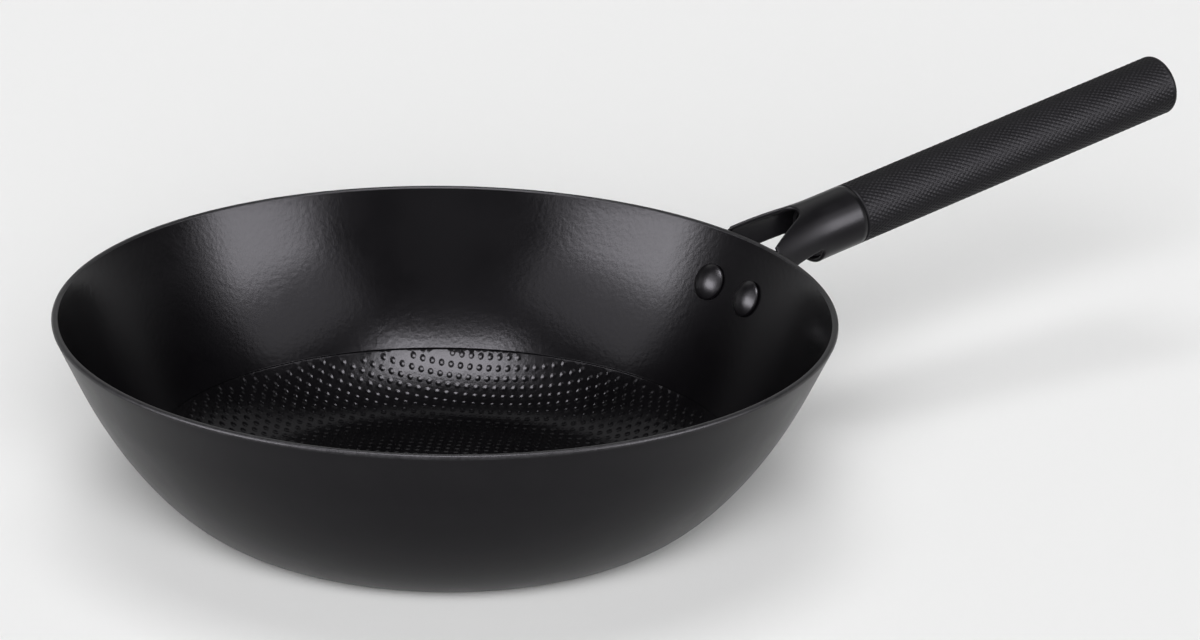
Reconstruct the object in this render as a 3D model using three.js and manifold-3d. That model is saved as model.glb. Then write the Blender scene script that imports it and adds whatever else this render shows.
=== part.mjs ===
// Non-stick wok with a riveted, forked handle bracket and a round screwed-on grip.
// Millimetres and degrees, +Z up. The bowl stands on Z = 0 about the Z axis, and the handle leaves along +X.
import * as THREE from 'three';
import { mergeVertices } from 'three/addons/utils/BufferGeometryUtils.js';
import loadManifold from 'manifold-3d';

const wasm = await loadManifold();
wasm.setup();

// Clearance left between pieces that touch or are pressed together.
const FIT = 0.3;

// Bowl: a flat base, a belly curve and a straight leaning wall up to the rim.
const RIM_RADIUS = 140.45;
const RIM_HEIGHT = 74;
const RIM_EDGE = 1.15;
const WALL_LEAN = 25.5;
const WALL_STRAIGHT = 20;
const WALL_THICKNESS = 2.4;
const BASE_RADIUS = 71;
const BASE_THICKNESS = 4.2;
// Pull of the belly curve's two ends towards the point where the wall's line would meet the table.
const BELLY_UPPER = 0.49;
const BELLY_LOWER = 0.69;
// Sunk field inside the bowl that carries the dimples.
const FIELD_RADIUS = 105.5;
const FIELD_STEP = 0.5;

// Handle axis: the joint between socket and grip, and the rise of the handle.
const JOINT_REACH = 185.1;
const JOINT_HEIGHT = 74.5;
const HANDLE_RISE = 8.65;
const HANDLE_DIAMETER = 23.1;

// Bracket: round socket, forked arms and a saddle plate on the wall.
const SHEET = 1.6;
const SOCKET_LENGTH = 20.7;
const SOCKET_CORNER = 2;
const FLARE_START = 18;
const FLARE_POWER = 2.2;
const ARM_SPREAD = 37.4;
const ARM_HEIGHT = 25;
const ARM_ROUNDING = 8.5;
const ARM_UNDERCUT = 1.8;
const ARM_DROP = 8;
const CREST_START = 29;
const CREST_RISE = 1.2;
const CREST_FALL = 24;
const NOTCH_START = 24.2;
const NOTCH_NOSE = 6.3;
const NOTCH_FLARE = 27;
const SADDLE_WIDTH = 41;
const SADDLE_HEIGHT = 24.5;
const SADDLE_DROP = 1.5;
const SADDLE_CORNER = 9;
const SADDLE_SHOULDER = 3;
const SADDLE_DIP_WIDTH = 17;
const SADDLE_DIP_DEPTH = 6.5;
const SADDLE_DIP_CORNER = 4;

// Rivets: large domed heads inside the bowl, smaller formed heads on the saddle.
const RIVET_SPACING = 22.3;
const RIVET_DROP = 19;
const RIVET_SHANK = 5.6;
const RIVET_HEAD = 13.6;
const RIVET_HEAD_HEIGHT = 3;
const RIVET_TAIL = 10.4;
const RIVET_TAIL_HEIGHT = 2.4;
const RIVET_EDGE = 0.7;

// Grip and the fixing inside the socket.
const GRIP_LENGTH = 155.2;
const GRIP_CHAMFER = 0.5;
const GRIP_END_RADIUS = 2.2;
const SPIGOT_LENGTH = 14;
const INSERT_DIAMETER = 8;
const INSERT_LENGTH = 12;
const INSERT_WAIST = 0.6;
const INSERT_WAIST_LENGTH = 2.4;
const CUP_SHEET = 1.6;
const CUP_DEPTH = 4.6;
const SCREW_DIAMETER = 4.8;
const SCREW_REACH = 10;
const SCREW_HEAD = 9;
const SCREW_HEAD_HEIGHT = 2.8;
const WASHER_DIAMETER = 9;
const WASHER_THICKNESS = 1;

// Smoothness of the curved faces, and steps of a search by halving.
const BOWL_SEGMENTS = 90;
const TURNED_SEGMENTS = 32;
const BELLY_STEPS = 12;
const RIM_STEPS = 4;
const ARC_STEPS = 6;
const FORK_SECTIONS = 14;
const FORK_CORNER_POINTS = 8;
const HALVINGS = 30;

const radians = THREE.MathUtils.degToRad;
const point = (x, y) => new THREE.Vector2(x, y);

// Boolean solids.

function solidFrom(geometry) {
  const bare = geometry.clone();
  bare.deleteAttribute('normal');
  bare.deleteAttribute('uv');
  const merged = mergeVertices(bare, 1e-4);
  const corners = Array.from(merged.index.array);
  const triangles = [];
  for (let i = 0; i < corners.length; i += 3) {
    const [a, b, c] = corners.slice(i, i + 3);
    if (a !== b && b !== c && c !== a) triangles.push(a, b, c);
  }
  return new wasm.Manifold(new wasm.Mesh({
    numProp: 3,
    vertProperties: new Float32Array(merged.attributes.position.array),
    triVerts: new Uint32Array(triangles),
  }));
}

function geometryFrom(solid) {
  const mesh = solid.getMesh();
  const geometry = new THREE.BufferGeometry();
  geometry.setAttribute('position', new THREE.BufferAttribute(mesh.vertProperties, 3));
  geometry.setIndex(new THREE.BufferAttribute(mesh.triVerts, 1));
  geometry.computeVertexNormals();
  return geometry;
}

// Turned and lofted forms. A turned profile runs counter-clockwise as (radius, height).

function turned(profile, segments = TURNED_SEGMENTS) {
  return new THREE.LatheGeometry(profile, segments);
}

function turnedAboutZ(profile) {
  return turned(profile, BOWL_SEGMENTS).rotateX(Math.PI / 2);
}

function turnedAboutX(profile) {
  return turned(profile).rotateZ(-Math.PI / 2);
}

function ringProfile(inner, outer, from, to) {
  return [point(inner, from), point(outer, from), point(outer, to), point(inner, to), point(inner, from)];
}

// Spherical cap from its edge at (radius, base) to its top on the axis; a negative height points down.
function capProfile(radius, base, height) {
  const sphere = (radius * radius + height * height) / (2 * Math.abs(height));
  const spread = Math.asin(Math.min(radius / sphere, 1));
  const centre = base + height - Math.sign(height) * sphere;
  const cap = [];
  for (let i = 0; i <= ARC_STEPS; i += 1) {
    const angle = spread * (1 - i / ARC_STEPS);
    const x = i === ARC_STEPS ? 0 : sphere * Math.sin(angle);
    cap.push(point(x, centre + Math.sign(height) * sphere * Math.cos(angle)));
  }
  return cap;
}

function roundedCorner(before, corner, after, radius, steps = ARC_STEPS) {
  const back = before.clone().sub(corner).normalize();
  const ahead = after.clone().sub(corner).normalize();
  const half = Math.acos(THREE.MathUtils.clamp(back.dot(ahead), -1, 1)) / 2;
  const reach = radius / Math.tan(half);
  const centre = back.clone().add(ahead).normalize().multiplyScalar(radius / Math.sin(half)).add(corner);
  const start = back.multiplyScalar(reach).add(corner).sub(centre);
  const end = ahead.multiplyScalar(reach).add(corner).sub(centre);
  const sweep = Math.atan2(start.cross(end), start.dot(end));
  const arc = [];
  for (let i = 0; i <= steps; i += 1) {
    arc.push(start.clone().rotateAround(point(0, 0), sweep * i / steps).add(centre));
  }
  return arc;
}

// Closed skin over rings of equal point counts, capped at both ends.
function loft(rings) {
  const count = rings[0].length;
  const vertices = rings.flat();
  const faces = [];
  for (let r = 0; r + 1 < rings.length; r += 1) {
    for (let k = 0; k < count; k += 1) {
      const a = r * count + k;
      const b = r * count + (k + 1) % count;
      faces.push(a, b, b + count, a, b + count, a + count);
    }
  }
  const last = (rings.length - 1) * count;
  for (let k = 1; k + 1 < count; k += 1) {
    faces.push(0, k + 1, k);
    faces.push(last, last + k, last + k + 1);
  }
  const geometry = new THREE.BufferGeometry().setFromPoints(vertices);
  geometry.setIndex(faces);
  return geometry;
}

function extruded(shape, depth) {
  return new THREE.ExtrudeGeometry(shape, { depth, bevelEnabled: false, curveSegments: ARC_STEPS });
}

// Bowl section.

const leanAngle = radians(WALL_LEAN);
const wallDown = point(-Math.sin(leanAngle), -Math.cos(leanAngle));
const wallInward = point(-Math.cos(leanAngle), Math.sin(leanAngle));
const rimCorner = point(RIM_RADIUS, RIM_HEIGHT);
const shoulder = wallDown.clone().multiplyScalar(WALL_STRAIGHT).add(rimCorner);
const baseEdge = point(BASE_RADIUS, 0);
const footprint = point(RIM_RADIUS - RIM_HEIGHT * Math.tan(leanAngle), 0);
const belly = new THREE.CubicBezierCurve(
  baseEdge,
  baseEdge.clone().lerp(footprint, BELLY_LOWER),
  shoulder.clone().lerp(footprint, BELLY_UPPER),
  shoulder,
);

// Point a given distance inside the belly curve, with t from 0 at the base to 1 at the straight wall.
function insideBelly(t, distance) {
  const along = belly.getTangent(t);
  return point(-along.y, along.x).multiplyScalar(distance).add(belly.getPoint(t));
}

// The casting thins from its base to an even wall.
function castThickness(t) {
  return THREE.MathUtils.lerp(WALL_THICKNESS, BASE_THICKNESS, (1 - t) ** 3);
}

function fieldEdge() {
  let low = 0;
  let high = 1;
  for (let i = 0; i < HALVINGS; i += 1) {
    const middle = (low + high) / 2;
    if (insideBelly(middle, castThickness(middle)).x < FIELD_RADIUS) low = middle;
    else high = middle;
  }
  return high;
}

// Point off the outside of the wall's straight stretch, given its drop below the rim and its distance.
function outsideWall(drop, distance) {
  const down = wallDown.clone().multiplyScalar(drop / Math.cos(leanAngle));
  return down.add(rimCorner).addScaledVector(wallInward, -distance);
}

// Outside of the bowl from base to rim, moved outwards by a distance.
function outerWall(distance) {
  const wall = [];
  for (let i = 0; i <= BELLY_STEPS; i += 1) {
    wall.push(insideBelly(i / BELLY_STEPS, -distance));
  }
  const rise = distance * Math.sin(leanAngle);
  wall.push(outsideWall(-rise, distance));
  return wall;
}

function bowlProfile() {
  const outer = outerWall(0).slice(0, -1);
  const innerShoulder = insideBelly(1, WALL_THICKNESS);
  const innerRim = point(RIM_RADIUS - WALL_THICKNESS / Math.cos(leanAngle), RIM_HEIGHT);
  const rim = [
    ...roundedCorner(shoulder, rimCorner, innerRim, RIM_EDGE, RIM_STEPS),
    ...roundedCorner(rimCorner, innerRim, innerShoulder, RIM_EDGE, RIM_STEPS),
  ];
  const edge = fieldEdge();
  const ramp = FIELD_STEP / belly.getLength();
  const wall = [];
  const field = [];
  for (let i = 0; i <= BELLY_STEPS / 2; i += 1) {
    const t = THREE.MathUtils.lerp(1, edge, i / (BELLY_STEPS / 2));
    wall.push(insideBelly(t, castThickness(t)));
  }
  for (let i = 0; i <= BELLY_STEPS; i += 1) {
    const t = Math.max(edge - ramp, 0) * (1 - i / BELLY_STEPS);
    field.push(insideBelly(t, castThickness(t) - FIELD_STEP));
  }
  return [point(0, 0), ...outer, ...rim, ...wall, ...field, point(0, BASE_THICKNESS - FIELD_STEP)];
}

// Rivet places: on the outside of the wall, square to it.

const rivetSeat = outsideWall(RIVET_DROP, 0);
const rivets = [['rivet_left', -1], ['rivet_right', 1]].map(([name, side]) => {
  const turn = side * Math.asin(RIVET_SPACING / 2 / rivetSeat.x);
  const outward = new THREE.Vector3(-wallInward.x, 0, -wallInward.y);
  outward.applyAxisAngle(new THREE.Vector3(0, 0, 1), turn);
  return {
    name,
    place: new THREE.Vector3(rivetSeat.x * Math.cos(turn), rivetSeat.x * Math.sin(turn), rivetSeat.y),
    facing: new THREE.Quaternion().setFromUnitVectors(new THREE.Vector3(0, 1, 0), outward),
  };
});

function rivetHoles() {
  const length = 8 * (WALL_THICKNESS + SHEET);
  const radius = RIVET_SHANK / 2 + FIT;
  const holes = rivets.map(({ place, facing }) => {
    const hole = new THREE.CylinderGeometry(radius, radius, length, TURNED_SEGMENTS / 2);
    return solidFrom(hole.applyQuaternion(facing).translate(place.x, place.y, place.z));
  });
  return holes[0].add(holes[1]);
}

function rivetGeometry() {
  const headFace = -WALL_THICKNESS - FIT;
  const tailFace = FIT + SHEET + FIT;
  const headCap = capProfile(RIVET_HEAD / 2, headFace - RIVET_EDGE, RIVET_EDGE - RIVET_HEAD_HEIGHT);
  const tailCap = capProfile(RIVET_TAIL / 2, tailFace + RIVET_EDGE, RIVET_TAIL_HEIGHT - RIVET_EDGE);
  return turned([
    ...headCap.reverse(),
    point(RIVET_HEAD / 2, headFace),
    point(RIVET_SHANK / 2, headFace),
    point(RIVET_SHANK / 2, tailFace),
    point(RIVET_TAIL / 2, tailFace),
    ...tailCap,
  ]);
}

function bowlGeometry() {
  return geometryFrom(solidFrom(turnedAboutZ(bowlProfile())).subtract(rivetHoles()));
}

// Handle frame: its origin is the joint, its X axis runs to the tip.

const handleRadius = HANDLE_DIAMETER / 2;
const socketBore = handleRadius - SHEET;
const armReach = JOINT_REACH - rivetSeat.x;
const armFar = armReach + handleRadius;
const handle = new THREE.Group();
handle.position.set(JOINT_REACH, 0, JOINT_HEIGHT);
handle.rotation.y = -radians(HANDLE_RISE);
handle.updateMatrix();

// Section of socket and fork at a distance from the joint: a circle that widens into a rounded rectangle.
function forkRing(distance, inset) {
  const run = THREE.MathUtils.clamp((distance - FLARE_START) / (armReach - FLARE_START), 0, 1);
  const flare = run ** FLARE_POWER;
  const width = THREE.MathUtils.lerp(handleRadius, ARM_SPREAD / 2, flare) - inset;
  const height = THREE.MathUtils.lerp(handleRadius, ARM_HEIGHT / 2, flare) - inset;
  const corner = THREE.MathUtils.lerp(handleRadius, ARM_ROUNDING, flare) - inset;
  const ring = [];
  for (let quarter = 0; quarter < 4; quarter += 1) {
    const sideY = quarter === 0 || quarter === 3 ? 1 : -1;
    const sideZ = quarter < 2 ? 1 : -1;
    for (let k = 0; k < FORK_CORNER_POINTS; k += 1) {
      const angle = (quarter + (k + 0.5) / FORK_CORNER_POINTS) * Math.PI / 2;
      const y = sideY * (width - corner) + corner * Math.cos(angle);
      const z = sideZ * (height - corner) + corner * Math.sin(angle);
      ring.push(new THREE.Vector3(-distance, y, z));
    }
  }
  return ring;
}

function forkSkin(inset, overrun) {
  const rings = [forkRing(armFar + overrun, inset)];
  for (let i = FORK_SECTIONS; i >= 0; i -= 1) {
    rings.push(forkRing(THREE.MathUtils.lerp(FLARE_START, armReach, i / FORK_SECTIONS), inset));
  }
  rings.push(forkRing(-overrun, inset));
  return solidFrom(loft(rings));
}

// Side outline of the bracket: full socket, then arms that keep only a band beside the axis.
function armSideCut() {
  const wide = ARM_HEIGHT;
  const crest = handleRadius + CREST_RISE;
  const crestEnd = crest - (armFar - CREST_START) * Math.tan(radians(CREST_FALL));
  const outline = new THREE.Shape();
  outline.moveTo(wide, -wide);
  outline.lineTo(-SOCKET_LENGTH, -wide);
  outline.lineTo(-SOCKET_LENGTH, -ARM_UNDERCUT - SOCKET_CORNER);
  outline.quadraticCurveTo(-SOCKET_LENGTH, -ARM_UNDERCUT, -SOCKET_LENGTH - SOCKET_CORNER, -ARM_UNDERCUT);
  outline.quadraticCurveTo(-(SOCKET_LENGTH + armReach) / 2, -ARM_UNDERCUT, -armReach, -ARM_DROP);
  outline.lineTo(-armFar, -ARM_DROP);
  outline.lineTo(-armFar, Math.max(crestEnd, SHEET - ARM_DROP));
  outline.lineTo(-CREST_START, crest);
  outline.lineTo(-CREST_START, wide);
  outline.lineTo(wide, wide);
  const depth = 2 * ARM_SPREAD;
  return solidFrom(extruded(outline, depth).rotateX(Math.PI / 2).translate(0, depth / 2, 0));
}

// Notch in the top of the socket: a round nose with straight flared sides.
function topNotch() {
  const flare = radians(NOTCH_FLARE);
  const nose = -NOTCH_START - NOTCH_NOSE;
  const far = 2 * armReach;
  const touchX = nose + NOTCH_NOSE * Math.sin(flare);
  const touchY = NOTCH_NOSE * Math.cos(flare);
  const farY = touchY + (far + touchX) * Math.tan(flare);
  const outline = new THREE.Shape();
  outline.moveTo(-far, -farY);
  outline.lineTo(touchX, -touchY);
  outline.absarc(nose, 0, NOTCH_NOSE, flare - Math.PI / 2, Math.PI / 2 - flare, false);
  outline.lineTo(-far, farY);
  return solidFrom(extruded(outline, ARM_HEIGHT));
}

function saddleOutline() {
  const half = SADDLE_WIDTH / 2;
  const top = RIM_HEIGHT - SADDLE_DROP;
  const bottom = top - SADDLE_HEIGHT;
  const dipHalf = SADDLE_DIP_WIDTH / 2;
  const dip = top - SADDLE_DIP_DEPTH;
  const corners = [
    [point(half, bottom), SADDLE_CORNER],
    [point(half, top), SADDLE_SHOULDER],
    [point(dipHalf, top), SADDLE_SHOULDER / 2],
    [point(dipHalf, dip), SADDLE_DIP_CORNER],
    [point(-dipHalf, dip), SADDLE_DIP_CORNER],
    [point(-dipHalf, top), SADDLE_SHOULDER / 2],
    [point(-half, top), SADDLE_SHOULDER],
    [point(-half, bottom), SADDLE_CORNER],
  ];
  const path = corners.flatMap(([corner, radius], i) => {
    const before = corners.at(i - 1)[0];
    const after = corners[(i + 1) % corners.length][0];
    return roundedCorner(before, corner, after, radius);
  });
  return new THREE.Shape(path);
}

// Plate of sheet metal that follows the wall, cut to the saddle's outline.
function saddlePlate() {
  const skin = solidFrom(turnedAboutZ([...outerWall(FIT + SHEET), ...outerWall(FIT).reverse(),
    outerWall(FIT + SHEET)[0]]));
  const axes = new THREE.Matrix4().makeBasis(
    new THREE.Vector3(0, 1, 0),
    new THREE.Vector3(0, 0, 1),
    new THREE.Vector3(1, 0, 0),
  );
  return skin.intersect(solidFrom(extruded(saddleOutline(), 2 * RIM_RADIUS).applyMatrix4(axes)));
}

// Everything that the bowl and the space above it take up.
function bowlEnvelope() {
  const wall = outerWall(FIT);
  const top = JOINT_HEIGHT + 2 * ARM_HEIGHT;
  return solidFrom(turnedAboutZ([point(0, wall[0].y), ...wall, point(wall.at(-1).x, top), point(0, top)]));
}

function bracketGeometry() {
  const overrun = HANDLE_DIAMETER;
  const shell = forkSkin(0, 0).subtract(forkSkin(SHEET, overrun));
  const fork = shell.intersect(armSideCut()).subtract(topNotch());
  const placed = solidFrom(geometryFrom(fork).applyMatrix4(handle.matrix));
  return geometryFrom(placed.subtract(bowlEnvelope()).add(saddlePlate()).subtract(rivetHoles()));
}

// Grip and fixing, turned about the handle axis.

const insertBore = INSERT_DIAMETER / 2 + FIT;
const spigotFace = -SPIGOT_LENGTH;
const cupFront = spigotFace - FIT;
const cupFloor = cupFront - CUP_SHEET;
const washerFace = cupFloor - FIT;
const screwFace = washerFace - WASHER_THICKNESS - FIT;
const screwHole = SCREW_DIAMETER / 2 + FIT;

function gripGeometry() {
  const boreEnd = spigotFace + INSERT_LENGTH + FIT;
  const spigot = socketBore - FIT;
  const tip = roundedCorner(
    point(handleRadius, FIT),
    point(handleRadius, GRIP_LENGTH),
    point(0, GRIP_LENGTH),
    GRIP_END_RADIUS,
  );
  return turnedAboutX([
    point(0, boreEnd),
    point(insertBore, boreEnd),
    point(insertBore, spigotFace),
    point(spigot, spigotFace),
    point(spigot, FIT),
    point(handleRadius - GRIP_CHAMFER, FIT),
    point(handleRadius, FIT + GRIP_CHAMFER),
    ...tip,
    point(0, GRIP_LENGTH),
  ]);
}

function insertGeometry() {
  const outer = INSERT_DIAMETER / 2;
  const end = spigotFace + INSERT_LENGTH;
  const waistFrom = (spigotFace + end - INSERT_WAIST_LENGTH) / 2;
  const waistTo = waistFrom + INSERT_WAIST_LENGTH;
  return turnedAboutX([
    point(screwHole, spigotFace),
    point(outer, spigotFace),
    point(outer, waistFrom),
    point(outer - INSERT_WAIST, waistFrom),
    point(outer - INSERT_WAIST, waistTo),
    point(outer, waistTo),
    point(outer, end),
    point(screwHole, end),
    point(screwHole, spigotFace),
  ]);
}

function cupGeometry() {
  const outer = socketBore - FIT;
  const mouth = cupFront - CUP_DEPTH;
  return turnedAboutX([
    point(screwHole, cupFloor),
    point(outer - CUP_SHEET, cupFloor),
    point(outer - CUP_SHEET, mouth),
    point(outer, mouth),
    point(outer, cupFront),
    point(screwHole, cupFront),
    point(screwHole, cupFloor),
  ]);
}

function washerGeometry() {
  const back = washerFace - WASHER_THICKNESS;
  return turnedAboutX(ringProfile(screwHole, WASHER_DIAMETER / 2, back, washerFace));
}

function screwGeometry() {
  const head = SCREW_HEAD / 2;
  const shank = SCREW_DIAMETER / 2;
  const end = spigotFace + SCREW_REACH;
  const dome = capProfile(head, screwFace - SCREW_HEAD_HEIGHT / 2, -SCREW_HEAD_HEIGHT / 2);
  return turnedAboutX([
    ...dome.reverse(),
    point(head, screwFace),
    point(shank, screwFace),
    point(shank, end),
    point(0, end),
  ]);
}

// Assembly.

function piece(name, geometry, color, roughness, metalness) {
  const mesh = new THREE.Mesh(geometry, new THREE.MeshStandardMaterial({ color, roughness, metalness }));
  mesh.name = name;
  return mesh;
}

const wok = new THREE.Group();
wok.add(piece('wok_body', bowlGeometry(), 0x242326, 0.42, 0.1));
wok.add(piece('handle_bracket', bracketGeometry(), 0x2b2a2e, 0.3, 0.6));
for (const { name, place, facing } of rivets) {
  const rivet = piece(name, rivetGeometry(), 0x2a292c, 0.35, 0.3);
  rivet.position.copy(place);
  rivet.quaternion.copy(facing);
  wok.add(rivet);
}
handle.add(piece('grip', gripGeometry(), 0x29282b, 0.5, 0));
handle.add(piece('thread_insert', insertGeometry(), 0xb08d4a, 0.35, 1));
handle.add(piece('socket_cup', cupGeometry(), 0x2b2a2e, 0.4, 0.6));
handle.add(piece('lock_washer', washerGeometry(), 0x9a9b9e, 0.35, 1));
handle.add(piece('handle_screw', screwGeometry(), 0xa3a4a8, 0.3, 1));
wok.add(handle);

export default wok;
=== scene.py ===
import math
from collections import namedtuple

import bpy
import numpy as np
from bpy.props import FloatProperty, FloatVectorProperty, IntProperty, PointerProperty
from bpy.types import NodeSocket, Operator, Panel, PropertyGroup
from mathutils import Matrix, Vector, geometry


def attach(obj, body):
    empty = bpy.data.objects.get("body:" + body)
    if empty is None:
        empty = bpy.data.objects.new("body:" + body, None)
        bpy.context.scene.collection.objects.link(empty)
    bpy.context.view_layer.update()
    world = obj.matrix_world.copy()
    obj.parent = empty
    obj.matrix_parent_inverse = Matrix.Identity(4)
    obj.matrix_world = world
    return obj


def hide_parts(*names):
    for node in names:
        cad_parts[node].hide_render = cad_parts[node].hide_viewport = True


bl_info = {
    "name": "Non-stick Wok",
    "version": (1, 0, 0),
    "blender": (4, 5, 0),
    "location": "3D View > Sidebar > Wok",
    "description": "Builds a wok with a dimpled field, a forked bracket and a knurled grip",
    "category": "Object",
}

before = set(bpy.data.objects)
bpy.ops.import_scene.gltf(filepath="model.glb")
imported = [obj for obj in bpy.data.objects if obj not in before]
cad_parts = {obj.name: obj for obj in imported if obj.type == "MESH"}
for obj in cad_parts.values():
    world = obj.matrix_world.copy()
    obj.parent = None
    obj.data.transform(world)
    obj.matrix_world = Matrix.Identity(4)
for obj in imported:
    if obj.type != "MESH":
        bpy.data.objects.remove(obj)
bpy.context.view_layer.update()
MM = 0.001
UP = np.array([0.0, 0.0, 1.0])
# Stands in for a length of zero where a vector is divided by its length.
TINY = 1e-12

# Dimples: shift of their lattice in pitches, then their rings of points, points in a ring, width of the
# slope and least distance of a centre from the field's edge, in dimple radii.
LATTICE_SHIFT = (0.36, 0.20)
DIMPLE_RINGS = np.array([0.40, 0.72, 1.0])
DIMPLE_SPOKES = 8
DIMPLE_SLOPE = 0.72
DIMPLE_INSET = 0.6

# Arms: width of the curve from notch to crest and least place of the crest, by arc length of the section;
# place at which the fillet starts and its growth, over the arm's height.
CREST_BLEND = 0.03
CREST_LEAST = 0.02
FILLET_START = 0.3
FILLET_GROWTH = 4.0

# Knurl: steps of the grid to a diamond each way, and the power that narrows its grooves.
KNURL_STEPS = 6
KNURL_SHARPNESS = 1.6


# Settings


def number(about, default, kind=FloatProperty, **limits):
    """Kind and options of a property, for a settings class to make it from."""
    return kind, {"description": about, "default": default, **limits}


def length(about, default):
    return number(about, default, min=0.0, unit="LENGTH", precision=5)


def angle(about, degrees):
    return number(about, math.radians(degrees), subtype="ANGLE")


def share(about, default):
    return number(about, default, min=0.0, max=1.0, subtype="FACTOR")


def amount(about, default):
    return number(about, default, min=0.0)


def count(about, default):
    return number(about, default, IntProperty, min=3)


def paint(about, default):
    return number(about, default, FloatVectorProperty, min=0.0, max=1.0, subtype="COLOR")


def labelled(group):
    """Settings class with its properties made, each labelled with its own name."""
    group.__annotations__ = {
        key: kind(name=key.replace("_", " ").capitalize(), **options)
        for key, (kind, options) in group.__annotations__.items()
    }
    return group


@labelled
class WokBowlSettings(PropertyGroup):
    """Sizes of the bowl, its rim and its dimpled field"""

    rim_radius: length("Radius of the wall's line at rim height", 0.14045)
    rim_height: length("Height of the rim over the table", 0.074)
    rim_edge: length("Rounding of the rim's two edges", 0.00115)
    wall_lean: angle("Lean of the straight wall from upright", 25.5)
    wall_straight: length("Length of the wall's straight stretch", 0.020)
    wall_thickness: length("Thickness of the wall", 0.0024)
    base_radius: length("Radius of the flat base", 0.071)
    base_thickness: length("Thickness of the base before the field is sunk", 0.0042)
    belly_upper: share("Pull of the belly curve's upper end", 0.49)
    belly_lower: share("Pull of the belly curve's lower end", 0.69)
    belly_swell: length("Extra radius of the base, on the outside only", 0.005)
    field_radius: length("Radius of the sunk field's edge", 0.1055)
    field_step: length("Depth of the sunk field", 0.0005)
    dimple_pitch: length("Distance between dimples, seen from above", 0.003555)
    dimple_radius: length("Radius of one dimple, seen from above", 0.00133)
    dimple_depth: length("Depth of one dimple", 0.0002)
    dimple_turn: angle("Turn of the dimple rows from the handle's direction", -44.8)
    dimple_margin: length("Smooth band inside the field's edge", 0.0003)
    segments: count("Steps around the bowl", 256)


@labelled
class WokBracketSettings(PropertyGroup):
    """Sizes of the socket, the forked arms and the saddle plate"""

    joint_reach: length("Distance from the bowl's axis to the joint with the grip", 0.1851)
    joint_height: length("Height of the joint over the table", 0.0745)
    rise: angle("Rise of the handle", 8.65)
    diameter: length("Diameter of socket and grip", 0.0231)
    sheet: length("Thickness of the pressed sheet", 0.0016)
    gap: length("Clearance to the bowl", 0.0003)
    socket_length: length("Length of the full socket", 0.0207)
    socket_corner: length("Rounding where the socket's mouth meets the arms", 0.002)
    flare_start: length("Distance from the joint at which the arms spread", 0.015)
    flare_power: amount("How late the arms spread", 1.55)
    arm_spread: length("Width over the arms at the bowl", 0.0368)
    arm_height: length("Height of the section at the bowl", 0.0242)
    arm_rounding: length("Corner radius of the section at the bowl", 0.0110)
    arm_undercut: length("Drop of the arms' lower edge at the socket", 0.0032)
    arm_drop: length("Drop of the arms' lower edge at the bowl", 0.008)
    arm_fillet: length("Rounding between arms and saddle", 0.0016)
    crest_start: length("Distance from the joint at which the arms' crest falls", 0.029)
    crest_rise: length("Height of the crest line over the socket", 0.0012)
    crest_fall: angle("Fall of the arms' crest", 4.0)
    notch_start: length("Distance from the joint to the notch", 0.0242)
    notch_nose: length("Radius of the notch's round end", 0.0063)
    notch_flare: angle("Lean of the notch's sides", 25.0)
    saddle_width: length("Width of the saddle plate", 0.041)
    saddle_height: length("Height of the saddle plate", 0.0245)
    saddle_drop: length("Distance from the rim down to the saddle plate", 0.0015)
    saddle_corner: length("Radius of the plate's lower corners", 0.009)
    saddle_shoulder: length("Radius of the plate's upper corners", 0.003)
    saddle_dip: length("Depth of the dip in the plate's upper edge", 0.0065)
    saddle_dip_width: length("Width of that dip", 0.017)


@labelled
class WokRivetSettings(PropertyGroup):
    """Sizes of the two rivets"""

    spacing: length("Distance between the rivets", 0.0223)
    drop: length("Distance of the rivets below the rim", 0.019)
    head: length("Diameter of the heads inside the bowl", 0.0136)
    head_height: length("Height of the heads inside the bowl", 0.003)
    tail: length("Diameter of the formed heads outside", 0.0104)
    tail_height: length("Height of the formed heads outside", 0.0024)
    shank: length("Diameter of the shanks", 0.0056)
    edge: length("Upright edge under each dome", 0.0007)


@labelled
class WokGripSettings(PropertyGroup):
    """Sizes of the knurled grip"""

    reach: length("Length of the grip from the joint", 0.1552)
    chamfer: length("Chamfer at the joint", 0.0005)
    end_radius: length("Rounding of the closed end", 0.0022)
    spigot: length("Length of the spigot inside the socket", 0.014)
    bore_radius: length("Radius of the spigot's bore", 0.0043)
    bore_depth: length("Depth of the spigot's bore", 0.0123)
    knurl_starts: count("Knurl diamonds around the grip", 42)
    knurl_pitch: length("Length of one knurl diamond along the grip", 0.00277)
    knurl_depth: length("Depth of the knurl's grooves", 0.0003)
    knurl_margin: length("Stretch over which the knurl runs out at each end", 0.0012)


@labelled
class WokFinishSettings(PropertyGroup):
    """Colours of the finishes"""

    outside: paint("Satin coating on the outside of the bowl", (0.0032, 0.0030, 0.0035))
    inside: paint("Smoother coating inside the bowl", (0.0018, 0.0016, 0.0020))
    rim: paint("Thin coating on the rim's rounded edge", (0.0070, 0.0069, 0.0073))
    bracket: paint("Satin black of the bracket", (0.0030, 0.0028, 0.0033))
    resin: paint("Dark resin of the grip", (0.0042, 0.0040, 0.0046))
    steel: paint("Plain steel of screw and washer", (0.42, 0.43, 0.45))
    brass: paint("Plain brass of the insert", (0.62, 0.43, 0.18))


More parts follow.
